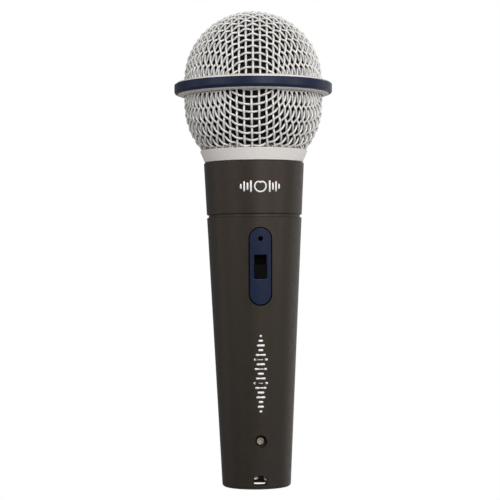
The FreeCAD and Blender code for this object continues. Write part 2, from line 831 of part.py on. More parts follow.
def make_switch_knob():
    """Thumb knob with fine ribs across it, at the low end of its travel."""
    body = new_body("switch_knob", SWITCH_PLACE)
    foot = f"({KNOB_MIDDLE} - knob_length / 2)"
    pitch = "(knob_length / (2 * rib_count - 1))"
    corners = [("knob_height", foot)]
    for rib in range(int(value("rib_count"))):
        low = f"{foot} + {2 * rib} * {pitch}"
        if rib:
            corners.append(("knob_sink + rib_height", low))
        corners.append(("knob_sink", f"{low} + {pitch} * 0.15"))
        corners.append(("knob_sink", f"{low} + {pitch} * 0.85"))
        if rib < value("rib_count") - 1:
            corners.append(("knob_sink + rib_height", f"{low} + {pitch}"))
    corners.append(("knob_height", f"{foot} + knob_length"))
    pad(body, "knob_comb", [corners], "knob_width", "YZ_Plane", "-knob_width / 2")


def make_switch_slider():
    """Slider under the knob: a stem, a dust shutter and the foot that works the contact."""
    body = new_body("switch_slider", SWITCH_PLACE)
    shutter = centred("shutter_width", "shutter_length", up=KNOB_MIDDLE)
    pad(body, "shutter", [shutter], "shutter_thickness", offset=f"-({SHUTTER_BACK})")
    stem = centred("knob_width / 2", "knob_length * 0.6", up=KNOB_MIDDLE)
    front = f"({SHUTTER_BACK} - shutter_thickness)"
    pad(body, "stem", [stem], f"{front} - knob_height", offset=f"-{front}")
    foot = centred("channel_width - 0.6", "knob_length", up=KNOB_MIDDLE)
    pad(body, "foot", [foot], FOOT_LENGTH, offset=f"-({SHUTTER_BACK} + {FOOT_LENGTH})")
    contact = new_body("switch_contact", SWITCH_PLACE)
    blade = centred("channel_width / 2", "knob_length * 0.8", up=KNOB_MIDDLE)
    back = f"({SHUTTER_BACK} + {FOOT_LENGTH} + film)"
    pad(contact, "blade", [blade], "film", offset=f"-{back}")


def make_switch_frame():
    """Channel-shaped frame: a web behind the plate with a slot for the stem, and two side rails."""
    body = new_body("switch_frame", SWITCH_PLACE)
    back = "(plate_depth + frame_web)"
    web = centred("frame_width", "frame_length")
    pad(body, "web", [web], "frame_web", offset=f"-{back}")
    middle = "(frame_width - rail_thickness) / 2"
    rails = [
        centred("rail_thickness", "rail_length", side + middle, "window_centre") for side in ("-", "")
    ]
    pad(body, "rails", rails, f"rail_depth - {back} + frame_web / 2", offset="-rail_depth")
    slot = new_sketch(body, "web_slot_outline", "XZ_Plane", "0")
    draw_outline(slot, centred("window_width", "window_length", up="window_centre"))
    pocket(body, "web_slot", slot, back)
    hole = new_sketch(body, "web_hole_outline", "XZ_Plane", "0")
    draw_circle(hole, "0", "plate_hole_up", "plate_hole_radius * 0.6")
    pocket(body, "web_hole", hole, back)


def make_switch_body():
    """Moulded switch body with the channel that the slider's foot runs in, and its solder tags."""
    body = new_body("switch_body", SWITCH_PLACE)
    block = centred("housing_width", "housing_length", up="window_centre")
    pad(body, "block", [block], "housing_bottom - housing_top", offset="-housing_bottom")
    channel = new_sketch(body, "channel_outline", "XZ_Plane", "0")
    draw_outline(channel, centred("channel_width", "channel_length", up="window_centre"))
    pocket(body, "channel", channel, "housing_top + channel_depth")
    tags = []
    for up in ("-tag_gap * 0.7", "0", "tag_gap * 0.7"):
        tags.append(centred("capsule_wall", "film * 2", up=f"(window_centre + {up})"))
    tag_body = new_body("switch_terminals", SWITCH_PLACE)
    pad(tag_body, "tags", tags, "tag_gap / 2", offset="-(housing_bottom + tag_gap / 2)")


# ---------------------------------------------------------------- screws


def make_screw(name, placement, head_radius, head_height, shank_radius, length):
    """Cross-head screw whose head's top faces -Y at the body's origin."""
    body = new_body(name, placement)
    corners = [
        ("0", "0"),
        (f"{head_radius} - edge_break", "0"),
        (head_radius, "-edge_break"),
        (head_radius, f"-({head_height})"),
        (shank_radius, f"-({head_height})"),
        (shank_radius, f"-({length})"),
        ("0", f"-({length})"),
    ]
    revolve(body, name + "_blank", corners)
    cross = new_sketch(body, name + "_cross", "XY_Plane", "edge_break")
    reach, half = f"({head_radius}) * 0.72", f"({head_radius}) * 0.2"
    quarter = [(reach, half), (half, half), (half, reach)]
    outline = []
    for turn in range(4):
        for across, up in quarter:
            spots = [(across, up), ("-" + up, across), ("-" + across, "-" + up), (up, "-" + across)]
            outline.append(spots[turn])
    draw_outline(cross, outline)
    pocket(body, name + "_recess", cross, f"edge_break + ({head_height}) * 0.75")


def make_screws():
    """Lock screw of the XLR insert and the screw of the switch plate; both face the front."""
    facing = Rotation(Vector(1, 0, 0), 90)
    head_at = Vector(0, -value(cone("lock_height") + " - lock_hole_depth + lock_head_height"),
                     value("lock_height"))
    make_screw("xlr_retaining_screw", Placement(head_at, facing), "lock_head_radius",
               "lock_head_height", "lock_shank_radius", "lock_shank_length")
    local = Vector(0, value("plate_depth * 0.6 - plate_screw_head"), value("plate_hole_up"))
    place = SWITCH_PLACE.multiply(Placement(local, facing))
    make_screw("switch_plate_screw", place, "plate_hole_radius - fit", "plate_screw_head",
               "plate_hole_radius * 0.6 - fit", "plate_screw_length")


# ---------------------------------------------------------------- XLR socket


def make_xlr_insert():
    """Moulded disc in the handle's bore: three raised bosses, three pin holes, a lock screw hole."""
    body = new_body("xlr_insert")
    disc = rectangle("0", "insert_radius", "insert_bottom", "insert_top")
    revolve(body, "insert_disc", disc)
    bosses = new_sketch(body, "bosses_outline", "XY_Plane", "insert_bottom - pin_boss_height")
    for across, up in PIN_PLACES:
        draw_circle(bosses, across, up, "pin_boss_radius")
    feature = body.newObject("PartDesign::Pad", "bosses")
    feature.Profile = bosses
    feature.setExpression("Length", bound("pin_boss_height"))
    drill = new_sketch(body, "pin_holes_outline", "XY_Plane", "insert_top + 1")
    for across, up in PIN_PLACES:
        draw_circle(drill, across, up, "pin_shank_radius + fit / 2")
    pocket(body, "pin_holes", drill, "insert_top - insert_bottom + 2")
    lock = new_sketch(body, "lock_bore_outline", "XZ_Plane", "insert_radius + 1")
    draw_circle(lock, "0", "lock_height", "lock_shank_radius + fit")
    pocket(body, "lock_bore", lock, "lock_bore_depth + 1")


def make_xlr_pins():
    """Three contact pins with rounded tips, a wider shank in the insert and a solder cup."""
    for number, (across, up) in enumerate(PIN_PLACES, start=1):
        place = Placement(Vector(value(across), value(up), 0), Rotation())
        body = new_body("xlr_pin_%d" % number, place)
        shoulder = "(pin_radius - pin_round)"
        corners = [
            ("0", "pin_tip"),
            (shoulder, "pin_tip"),
            ("~pin_radius", "pin_tip + pin_round", shoulder, "pin_tip + pin_round"),
            ("pin_radius", "insert_bottom - pin_boss_height"),
            ("pin_shank_radius", "insert_bottom - pin_boss_height"),
            ("pin_shank_radius", "pin_top"),
            ("pin_cup_radius", "pin_top"),
            ("pin_cup_radius", "pin_top - pin_cup_depth"),
            ("0", "pin_top - pin_cup_depth"),
        ]
        revolve(body, "pin_%d" % number, corners)


def make_xlr_ground_tag():
    """Strip from pin 1 to the handle's wall, bent up against the wall."""
    body = new_body("xlr_ground_tag")
    across, _ = PIN_PLACES[0]
    thickness = "film * 1.6"
    wall = "-(insert_radius - fit * 4)"
    half = "ground_tag_width / 2"
    strip = rectangle(wall, f"{across} + pin_boss_radius", "-" + half, half)
    pad(body, "strip", [strip], thickness, "XY_Plane", "insert_top")
    leg = rectangle(wall, f"{wall} + {thickness}", "-" + half, half)
    pad(body, "leg", [leg], "pin_top - insert_top", "XY_Plane", "insert_top")
    hole = new_sketch(body, "tag_hole_outline", "XY_Plane", "insert_top + 1")
    draw_circle(hole, across, "0", "pin_shank_radius + fit / 2")
    pocket(body, "tag_hole", hole, "1 + film")


# ---------------------------------------------------------------- wiring


def make_lead(name, points):
    """A round wire along straight runs joined by tangent arcs as large as the runs allow."""
    edges = []
    last = points[0]
    for before, corner, after in zip(points, points[1:], points[2:]):
        inward, outward = (corner - before), (after - corner)
        run = min(inward.Length, outward.Length)
        turn = inward.getAngle(outward)
        back = ARC_SHARE * run
        radius = back / math.tan(turn / 2)
        inward.normalize()
        outward.normalize()
        start, end = corner - inward * back, corner + outward * back
        bisector = outward - inward
        bisector.normalize()
        centre = corner + bisector * (radius / math.cos(turn / 2))
        toward = corner - centre
        toward.normalize()
        edges.append(Part.LineSegment(last, start).toShape())
        edges.append(Part.Arc(start, centre + toward * radius, end).toShape())
        last = end
    edges.append(Part.LineSegment(last, points[-1]).toShape())
    path = Part.Wire(edges)
    along = points[1] - points[0]
    section = Part.Wire(Part.Circle(points[0], along, value("lead_radius")).toShape())
    feature = document.addObject("Part::Feature", name)
    feature.Label = name
    feature.Shape = path.makePipeShell([section], True, False)
    feature.Placement = Placement()
    expected = math.pi * value("lead_radius") ** 2 * path.Length
    if abs(feature.Shape.Volume - expected) > 0.02 * expected:
        raise RuntimeError(name + " has the wrong volume")


def beside_tag(up, side):
    """Where a lead's end lies beside a tag of the switch, on its left (-1) or right (1)."""
    across = side * value("capsule_wall / 2 + lead_radius")
    into = value("housing_bottom + tag_gap / 4")
    return SWITCH_PLACE.multVec(Vector(across, into, value(up)))


def make_leads():
    """Four internal leads: capsule tags to the switch tags, switch tags to XLR pins 2 and 3."""
    tag_end = value("capsule_bottom - capsule_wall - tag_gap / 2")
    beside = value("tag_gap / 2")
    high, low = "window_centre + tag_gap * 0.7", "window_centre - tag_gap * 0.7"

    tag = beside_tag(high, -1)
    start = Vector(beside, 0, tag_end)
    make_lead("lead_capsule_hot", [start, start + Vector(0, 0, -8), tag + Vector(0, 1.5, 5), tag])

    tag = beside_tag(low, -1)
    start = Vector(-beside, 0, tag_end)
    clear = Vector(-beside - 1.2, -1.5, tag.z + 9)
    points = [start, start + Vector(0, 0, -8), clear, tag + Vector(-0.3, 0.8, 3.5), tag]
    make_lead("lead_capsule_cold", points)

    for number, up, out in ((2, high, 2.1), (3, low, 0)):
        tag = beside_tag(up, 1)
        across, depth = (value(place) for place in PIN_PLACES[number - 1])
        end = Vector(across, depth, value("pin_top - pin_cup_depth / 2"))
        above = end + Vector(0, 0, 11)
        slack = tag + Vector(out, 3, -16)
        middle = (slack + above) / 2 + Vector(0, -1.5, 0)
        points = [tag, tag + Vector(out, 0.8, -4), slack, middle, above, end]
        make_lead("lead_pin_%d" % number, points)


# ---------------------------------------------------------------- build, check and write

for make in (
    make_lower_handle,
    make_upper_sleeve,
    make_grille_collar,
    make_grille_bowl_mesh,
    make_grille_dome_mesh,
    make_grille_ring_core,
    make_grille_band,
    make_windscreen_foam,
    make_shock_mount,
    make_capsule_housing,
    make_magnet_system,
    make_moving_coil,
    make_capsule_front_cap,
    make_capsule_trim,
    make_switch_plate,
    make_switch_knob,
    make_switch_slider,
    make_switch_frame,
    make_switch_body,
    make_screws,
    make_xlr_insert,
    make_xlr_pins,
    make_xlr_ground_tag,
    make_leads,
):
    make()
document.recompute()

for item in document.Objects:
    if "Invalid" in item.State or "Error" in item.State:
        raise RuntimeError(f"{item.Label} did not compute: {item.State}")

parts = [item for item in document.Objects if item.TypeId in ("PartDesign::Body", "Part::Feature")]
for part in parts:
    if part.Shape.isNull() or not part.Shape.isValid() or not part.Shape.Solids:
        raise RuntimeError(part.Label + " has no valid solid")

os.makedirs("parts", exist_ok=True)
for part in parts:
    part.Shape.exportStep("parts/" + part.Label + ".step")
    print(f"{part.Label}: {len(part.Shape.Solids)} solid(s), {part.Shape.Volume:.2f} mm3")
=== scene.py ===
"""Looks of the hand-held dynamic microphone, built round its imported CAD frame.

Every length is in metres, in the frame of the CAD: +Z up the microphone, the switch towards -Y.
Places come from the frame's own boxes and from a few driving sizes, which repeat those of the CAD.
"""

import json
import math

import bmesh
import bpy
import numpy as np
from mathutils import Matrix, Vector, noise


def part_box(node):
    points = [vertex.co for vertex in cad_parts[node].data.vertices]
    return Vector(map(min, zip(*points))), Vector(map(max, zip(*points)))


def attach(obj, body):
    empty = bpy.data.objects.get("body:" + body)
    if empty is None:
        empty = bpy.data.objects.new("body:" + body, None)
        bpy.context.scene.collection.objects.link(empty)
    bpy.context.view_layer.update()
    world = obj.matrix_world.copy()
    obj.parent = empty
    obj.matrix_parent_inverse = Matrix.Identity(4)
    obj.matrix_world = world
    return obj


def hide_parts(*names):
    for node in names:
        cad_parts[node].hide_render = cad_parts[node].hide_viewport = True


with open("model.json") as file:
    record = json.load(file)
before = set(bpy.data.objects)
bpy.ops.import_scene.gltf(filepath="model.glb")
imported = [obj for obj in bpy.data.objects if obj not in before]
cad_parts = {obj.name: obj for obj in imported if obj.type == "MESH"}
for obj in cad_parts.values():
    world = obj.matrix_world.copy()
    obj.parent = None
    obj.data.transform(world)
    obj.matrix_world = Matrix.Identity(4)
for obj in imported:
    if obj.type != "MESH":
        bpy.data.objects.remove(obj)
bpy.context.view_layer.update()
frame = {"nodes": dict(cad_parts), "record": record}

MM = 0.001

# The cone of the handle: radius = RIM_RADIUS + TAPER * height.
RIM_RADIUS = 12.27 * MM
TAPER = 0.0495

# Wire ball: radius of a wire, of the ball at the middle of the weave, and its two sphere centres.
WIRE_RADIUS = 0.38 * MM
BALL_RADIUS = 24.9 * MM - 2 * WIRE_RADIUS
DOME_CENTRE = 145.7 * MM
BOWL_CENTRE = 136.9 * MM
# For each half: steps between crossings up the front of the ball and round it, distance of the net's
# middle crossing from the pole, how far the net is turned in degrees, and by how much of their length
# the steps grew where the drawing of the ball sheared the cloth most.
DOME_NET = {
    "step_up": 2.57 * MM, "step_round": 2.48 * MM, "shift": -0.18 * MM, "turn": -7.3, "stretch": 0.24,
}
BOWL_NET = {
    "step_up": 2.57 * MM, "step_round": 2.64 * MM, "shift": -0.10 * MM, "turn": -8.8, "stretch": 0.22,
}
# Crossings from the pole to the ball's middle, and to the farthest that is laid.
QUARTER = 15
NET_REACH = 19
# Height on a unit sphere below which the net is not needed, past the ends of both straight skirts.
NET_FLOOR = -0.22
# Points of a wire between two crossings, sides of its tube, and the fewest points worth a tube.
WIRE_STEPS = 8
WIRE_SIDES = 8
SHORTEST_WIRE = 4
# How far the cut ends of the wires stay inside the CAD shell.
WIRE_MARGIN = 0.1 * MM

FOAM_RADIUS = 22.9 * MM
FOAM_THICKNESS = 3.0 * MM
FOAM_BORE = 16.5 * MM
# Points round the foam; sizes of its large and small lumps, and their mean depth.
FOAM_AROUND = 180
LARGE_LUMP, SMALL_LUMP = 1.6 * MM, 0.7 * MM
LUMP_DEPTH = 0.12 * MM

# Switch plate: the middle of its face and its lean, its width and length, and the gap round it.
PLATE_CENTRE = Vector((0, -16.168 * MM, 78.75 * MM))
PLATE_LEAN = 2.834
PLATE_WIDTH, PLATE_LENGTH = 7.6 * MM, 27.0 * MM
PLATE_GAP = 0.4 * MM
PLATE_DEPTH = 1.3 * MM

# Half the thickness of the printed film, and the heights of the middles of the two marks.
INK = 0.03 * MM
SLEEVE_MARK_HEIGHT = 106.8 * MM
LEVEL_MARK_HEIGHT = 41.0 * MM

# Camera, round the microphone's axis. Azimuth 0 looks along +Y.
CAMERA_AZIMUTH = -7.3
CAMERA_DISTANCE = 0.610
CAMERA_HEIGHT = 77.5 * MM
CAMERA_LENS = 122
CAMERA_ROLL = -0.5
AIM_HEIGHT = 84.7 * MM
AIM_ASIDE = -1.66 * MM

# Strength of the surround's light at its left and right ends.
SURROUND_LEFT, SURROUND_RIGHT = 0.24, 0.60
FLOOR_RADIUS = 0.3
FLOOR_HEIGHT = -0.6
# Height on the microphone's axis that every soft light looks at.
LIGHT_AIM_HEIGHT = 110 * MM
# name, azimuth in degrees, distance, height, width, length, power in watts, colour
WHITE, WARM_WHITE = (1, 1, 1), (1, 0.97, 0.94)
SOFTBOXES = (
    ("key", 11, 0.75, 0.46, 0.35, 0.50, 5.6, WHITE),
    ("right", 54, 0.50, 0.22, 0.12, 0.35, 0.64, WARM_WHITE),
    ("left", -56, 0.80, 0.35, 0.55, 0.50, 2.5, WHITE),
    ("left_edge", -100, 0.60, 0.20, 0.20, 0.60, 0.45, WHITE),
    ("right_edge", 112, 0.60, 0.17, 0.15, 0.70, 0.40, WHITE),
    ("right_back", 145, 0.60, 0.15, 0.15, 0.70, 0.27, WHITE),
)

# slot: colour, roughness, metallic, size of the grain in mm, height of its bump in mm, how much the
# colour varies, specular level
FINISHES = {
    "handle_paint": ((0.0062, 0.0080, 0.0060), 0.48, 0.0, 0.22, 0.006, 0.30, 0.48),
    "collar_silver": ((0.64, 0.605, 0.58), 0.5, 0.1, 0.2, 0.004, 0.10, 0.5),
    "mesh_wire": ((0.59, 0.58, 0.56), 0.48, 0.2, 0.5, 0.001, 0.05, 0.5),
    "ring_silver": ((0.62, 0.60, 0.58), 0.42, 0.2, 0.3, 0.002, 0.06, 0.5),
    "blue_trim": ((0.0055, 0.0098, 0.031), 0.40, 0.0, 0.4, 0.003, 0.12, 0.18),
    "rubber_black": ((0.02, 0.02, 0.02), 0.8, 0.0, 0.4, 0.004, 0.2, 0.5),
    "capsule_plastic": ((0.06, 0.06, 0.06), 0.5, 0.0, 0.3, 0.002, 0.12, 0.5),
    "capsule_metal": ((0.6, 0.6, 0.6), 0.35, 1.0, 0.3, 0.001, 0.05, 0.5),
    "felt_grey": ((0.2, 0.2, 0.2), 0.95, 0.0, 0.25, 0.06, 0.3, 0.5),
    "film_clear": ((0.65, 0.65, 0.6), 0.3, 0.0, 1.0, 0.001, 0.04, 0.5),
    "coil_copper": ((0.72, 0.35, 0.18), 0.3, 1.0, 0.1, 0.01, 0.15, 0.5),
    "iron": ((0.45, 0.45, 0.46), 0.4, 1.0, 0.2, 0.002, 0.08, 0.5),
    "magnet_grey": ((0.2, 0.2, 0.21), 0.55, 0.6, 0.2, 0.006, 0.2, 0.5),
    "board_brown": ((0.22, 0.12, 0.05), 0.5, 0.0, 0.4, 0.003, 0.2, 0.5),
    "contact_metal": ((0.7, 0.6, 0.38), 0.3, 1.0, 0.2, 0.001, 0.06, 0.5),
    "pin_silver": ((0.75, 0.74, 0.72), 0.25, 1.0, 0.3, 0.001, 0.06, 0.5),
    "knob_black": ((0.0016, 0.0016, 0.0013), 0.30, 0.0, 0.15, 0.004, 0.2, 0.07),
    "switch_plastic": ((0.001, 0.001, 0.001), 0.6, 0.0, 0.3, 0.002, 0.12, 0.02),
    "steel": ((0.5, 0.5, 0.5), 0.35, 1.0, 0.2, 0.001, 0.06, 0.5),
    "screw_nickel": ((0.42, 0.37, 0.28), 0.3, 1.0, 0.25, 0.012, 0.35, 0.5),
    "screw_black": ((0.0005, 0.0005, 0.0005), 0.6, 0.0, 0.1, 0.002, 0.1, 0.0),
    "insert_black": ((0.03, 0.03, 0.03), 0.55, 0.0, 0.3, 0.003, 0.15, 0.5),
    "lead_red": ((0.35, 0.02, 0.02), 0.45, 0.0, 0.5, 0.002, 0.1, 0.5),
    "lead_black": ((0.02, 0.02, 0.02), 0.45, 0.0, 0.5, 0.002, 0.1, 0.5),
    # Near-black and without reflection: painted shade in the gap round the switch plate.
    "gap_shade_black": ((0.001, 0.001, 0.001), 0.8, 0.0, 0.3, 0.001, 0.1, 0.0),
    "print_white": ((0.72, 0.72, 0.71), 0.5, 0.0, 0.3, 0.001, 0.06, 0.5),
}
# The handle's paint reflects a little warm.
PAINT_TINT = (1.0, 0.72, 0.62, 1)
# Size and depth of the foam's open pores; the size also sets the painted shade in each pore.
FOAM_CELL, CELL_DEPTH = 0.45 * MM, 0.12 * MM

# ---------------------------------------------------------------- camera, floor and light


def from_axis(azimuth, distance, height):
    """A point at a distance from the microphone's axis; azimuth 0 is in front of it, at -Y."""
    turn = math.radians(azimuth)
    return Vector((math.sin(turn) * distance, -math.cos(turn) * distance, height))


def aim(item, place, target, roll=0.0):
    """Puts a camera or light at a place, looking at a target."""
    item.location = place
    look = (target - place).to_track_quat("-Z", "Y")
    item.rotation_mode = "QUATERNION"
    item.rotation_quaternion = look @ Matrix.Rotation(math.radians(roll), 4, "Z").to_quaternion()
    bpy.context.scene.collection.objects.link(item)


def make_camera():
    """Long lens in front of the microphone, a little to its left."""
    data = bpy.data.cameras.new("camera")
    data.lens = CAMERA_LENS
    data.sensor_width = 36
    data.clip_start = 0.01
    data.clip_end = 20
    camera = bpy.data.objects.new("camera", data)
    aside = from_axis(CAMERA_AZIMUTH + 90, AIM_ASIDE, AIM_HEIGHT)
    aim(camera, from_axis(CAMERA_AZIMUTH, CAMERA_DISTANCE, CAMERA_HEIGHT), aside, CAMERA_ROLL)
    bpy.context.scene.camera = camera


def make_softbox(name, azimuth, distance, height, width, length, power, colour):
    """A rectangular soft light that looks at the upper half of the microphone."""
    data = bpy.data.lights.new(name, "AREA")
    data.shape = "RECTANGLE"
    data.size = width
    data.size_y = length
    data.energy = power
    data.color = colour
    place = from_axis(azimuth, distance, height)
    aim(bpy.data.objects.new(name, data), place, Vector((0, 0, LIGHT_AIM_HEIGHT)))


def make_world():
    """White to look at; its light is dimmer, most of all from the left."""
    world = bpy.data.worlds.new("studio")
    bpy.context.scene.world = world
    world.use_nodes = True
    nodes, links = world.node_tree.nodes, world.node_tree.links
    seen = nodes["Background"]
    seen.inputs["Color"].default_value = (1, 1, 1, 1)
    place = nodes.new("ShaderNodeTexCoord")
    split = nodes.new("ShaderNodeSeparateXYZ")
    links.new(place.outputs["Generated"], split.inputs[0])
    across = nodes.new("ShaderNodeMapRange")
    across.inputs["From Min"].default_value = -1
    across.inputs["To Min"].default_value = SURROUND_LEFT
    across.inputs["To Max"].default_value = SURROUND_RIGHT
    links.new(split.outputs["X"], across.inputs["Value"])
    light = nodes.new("ShaderNodeBackground")
    links.new(across.outputs["Result"], light.inputs["Strength"])
    mix = nodes.new("ShaderNodeMixShader")
    path = nodes.new("ShaderNodeLightPath")
    links.new(path.outputs["Is Camera Ray"], mix.inputs["Fac"])
    links.new(light.outputs[0], mix.inputs[1])
    links.new(seen.outputs[0], mix.inputs[2])
    links.new(mix.outputs[0], nodes["World Output"].inputs["Surface"])


def make_floor():
    """Plain white floor that glows like a light table, well below the foot and out of the picture."""
    data = bpy.data.meshes.new("floor")
    build = bmesh.new()
    bmesh.ops.create_circle(build, cap_ends=True, segments=96, radius=FLOOR_RADIUS)
    build.to_mesh(data)
    build.free()
    floor = bpy.data.objects.new("floor", data)
    bpy.context.scene.collection.objects.link(floor)
    floor.location.z = FLOOR_HEIGHT
    material = new_material("floor_white", (0.0, 0.0, 0.0), 1.0)
    shader = material.node_tree.nodes["Principled BSDF"]
    shader.inputs["Specular IOR Level"].default_value = 0
    shader.inputs["Emission Color"].default_value = (1, 1, 1, 1)
    shader.inputs["Emission Strength"].default_value = 1
    data.materials.append(material)


def make_stage():
    bpy.context.scene.view_settings.view_transform = "Standard"
    make_world()
    make_floor()
    for softbox in SOFTBOXES:
        make_softbox(*softbox)


# ---------------------------------------------------------------- materials


def new_material(name, colour, roughness, metallic=0.0):
    material = bpy.data.materials.new(name)
    material.use_nodes = True
    shader = material.node_tree.nodes["Principled BSDF"]
    shader.inputs["Base Color"].default_value = (*colour, 1)
    shader.inputs["Roughness"].default_value = roughness
    shader.inputs["Metallic"].default_value = metallic
    return material


def grain(material, size):
    """The 0 to 1 value of a noise with features of a size, fixed to the object."""
    nodes, links = material.node_tree.nodes, material.node_tree.links
    place = nodes.new("ShaderNodeTexCoord")
    texture = nodes.new("ShaderNodeTexNoise")
    texture.inputs["Scale"].default_value = 1 / size
    texture.inputs["Detail"].default_value = 2.0
    links.new(place.outputs["Object"], texture.inputs["Vector"])
    return texture.outputs["Fac"]


def pores(material, size):
    """The distance to the nearest cell centre of a cell pattern of a size."""
    nodes, links = material.node_tree.nodes, material.node_tree.links
    place = nodes.new("ShaderNodeTexCoord")
    texture = nodes.new("ShaderNodeTexVoronoi")
    texture.inputs["Scale"].default_value = 1 / size
    links.new(place.outputs["Object"], texture.inputs["Vector"])
    return texture.outputs["Distance"]


def vary_colour(material, value, low, high, start=0.3, end=0.7):
    """Colour from low to high as a 0 to 1 value goes from start to end."""
    nodes, links = material.node_tree.nodes, material.node_tree.links
    ramp = nodes.new("ShaderNodeValToRGB")
    ramp.color_ramp.elements[0].position = start
    ramp.color_ramp.elements[0].color = (*low, 1)
    ramp.color_ramp.elements[1].position = end
    ramp.color_ramp.elements[1].color = (*high, 1)
    links.new(value, ramp.inputs["Fac"])
    links.new(ramp.outputs["Color"], nodes["Principled BSDF"].inputs["Base Color"])


def vary_roughness(material, value, low, high):
    """Roughness from low to high over the middle of a 0 to 1 value."""
    nodes, links = material.node_tree.nodes, material.node_tree.links
    spread = nodes.new("ShaderNodeMapRange")
    spread.inputs["From Min"].default_value = 0.3
    spread.inputs["From Max"].default_value = 0.7
    spread.inputs["To Min"].default_value = low
    spread.inputs["To Max"].default_value = high
    links.new(value, spread.inputs["Value"])
    links.new(spread.outputs["Result"], nodes["Principled BSDF"].inputs["Roughness"])


def add_bump(material, value, height):
    nodes, links = material.node_tree.nodes, material.node_tree.links
    bump = nodes.new("ShaderNodeBump")
    bump.inputs["Distance"].default_value = height
    bump.inputs["Strength"].default_value = 1.0
    links.new(value, bump.inputs["Height"])
    links.new(bump.outputs["Normal"], nodes["Principled BSDF"].inputs["Normal"])


def shade(colour, factor):
    return tuple(channel * factor for channel in colour)


def grained_finish(name, colour, roughness, metallic, size, bump, contrast, shine):
    """A finish whose colour and gloss vary a little, over a fine uneven surface. Sizes in mm."""
    material = new_material(name, colour, roughness, metallic)
    material.node_tree.nodes["Principled BSDF"].inputs["Specular IOR Level"].default_value = shine
    fine = grain(material, size * MM)
    vary_colour(material, fine, shade(colour, 1 - contrast), shade(colour, 1 + contrast))
    vary_roughness(material, grain(material, size * 8 * MM), roughness * 0.9, roughness * 1.1)
    add_bump(material, fine, bump * MM)
    return material


def foam_finish():
    """Open-celled black foam, with painted shade darkening the middle of each pore."""
    material = new_material("foam_black", (0.008, 0.008, 0.009), 0.95)
    pore_depth_and_shade = pores(material, FOAM_CELL)
    # Painted shade: each pore is darker towards its middle, where the bump makes it deepest.
    vary_colour(material, pore_depth_and_shade, (0.003, 0.003, 0.003), (0.014, 0.014, 0.015), 0.1, 0.8)
    add_bump(material, pore_depth_and_shade, CELL_DEPTH)
    shader = material.node_tree.nodes["Principled BSDF"]
    shader.inputs["Specular IOR Level"].default_value = 0.1
    return material


def make_finishes():
    """One material for each slot of the record, and for the painted shade in the switch plate's gap
    and for the prints.
    """
    finishes = {name: grained_finish(name, *look) for name, look in FINISHES.items()}
    shader = finishes["handle_paint"].node_tree.nodes["Principled BSDF"]
    shader.inputs["Specular Tint"].default_value = PAINT_TINT
    finishes["foam_black"] = foam_finish()
    return finishes


def finish_cad_nodes(finishes):
    """Gives each CAD node the finish that its slot names in the record."""
    for part in frame["record"]["subparts"]:
        node = frame["nodes"][part["node"]]
        for place in node.material_slots:
            place.material = finishes[part["material_slot"]]


# ---------------------------------------------------------------- mesh helpers


def new_piece(name, points, faces, material, body, replaced):
    """A smooth mesh object from points and faces. It rides on a CAD body, and may replace nodes."""
    data = bpy.data.meshes.new(name)
    data.from_pydata([tuple(p) for p in points], [], [tuple(f) for f in faces])
    data.validate()
    data.polygons.foreach_set("use_smooth", [True] * len(data.polygons))
    data.materials.append(material)
    piece = bpy.data.objects.new(name, data)
    bpy.context.scene.collection.objects.link(piece)
    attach(piece, body)
    if replaced:
        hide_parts(*replaced)
    return piece


# ---------------------------------------------------------------- woven wire


def weave_net(cloth):
    """Crossings of a square cloth laid on a unit sphere, as {(up, round): direction}. Both families
    keep their own step between crossings, and shear where the ball makes them; where they shear most,
    the steps also grow."""
    step_up, step_across = cloth["step_up"] / BALL_RADIUS, cloth["step_round"] / BALL_RADIUS
    start = cloth["shift"] / BALL_RADIUS
    middle = np.array([math.sin(start), 0, math.cos(start)])
    down = np.array([math.cos(start), 0, -math.sin(start)])
    aside = np.array([0, 1, 0])
    net = {}
    for k in range(-NET_REACH, NET_REACH + 1):
        net[k, 0] = middle * math.cos(k * step_up) + down * math.sin(k * step_up)
        net[0, k] = middle * math.cos(k * step_across) + aside * math.sin(k * step_across)
    for side_up in (-1, 1):
        for side_across in (-1, 1):
            for i in range(1, NET_REACH + 1):
                for j in range(1, NET_REACH + 1):
                    a = net.get((side_up * (i - 1), side_across * j))
                    b = net.get((side_up * i, side_across * (j - 1)))
                    back = net.get((side_up * (i - 1), side_across * (j - 1)))
                    if a is None or b is None or back is None or back[2] < NET_FLOOR:
                        continue
                    skew = 2 * i * j / (i * i + j * j)
                    longer = 1 + cloth["stretch"] * skew ** 4 * min(1, (i * i + j * j) / QUARTER ** 2)
                    up, across = step_up * longer, step_across * longer
                    shared = a @ b
                    spread = 1 - shared ** 2
                    flat = (math.cos(up) - shared * math.cos(across)) / spread * a
                    flat = flat + (math.cos(across) - shared * math.cos(up)) / spread * b
                    rest = 1 - flat @ flat
                    if rest <= 0:
                        continue
                    lift = np.cross(a, b) * math.sqrt(rest / spread)
                    options = (flat + lift, flat - lift)
                    far = max(options, key=lambda p: np.linalg.norm(p - back))
                    net[side_up * i, side_across * j] = far
    return net


def net_wires(net):
    """Each wire as (crossings from one end to the other, sign of its rise at the first one)."""
    wires = []
    for family in (0, 1):
        for k in range(-NET_REACH, NET_REACH + 1):
            run = []
            for side in (-1, 1):
                arm = []
                for j in range(0 if side < 0 else 1, NET_REACH + 1):
                    spot = (side * j, k) if family else (k, side * j)
                    if spot not in net or net[spot][2] < NET_FLOOR:
                        break
                    arm.append((spot, net[spot]))
                run = arm[::-1] + run if side < 0 else run + arm
                if not run:
                    break
            if len(run) > 2:
                (i, j), _ = run[0]
                sign = (-1) ** (i + j) * (1 if family else -1)
                wires.append((np.array([p for _, p in run]), sign))
    return wires


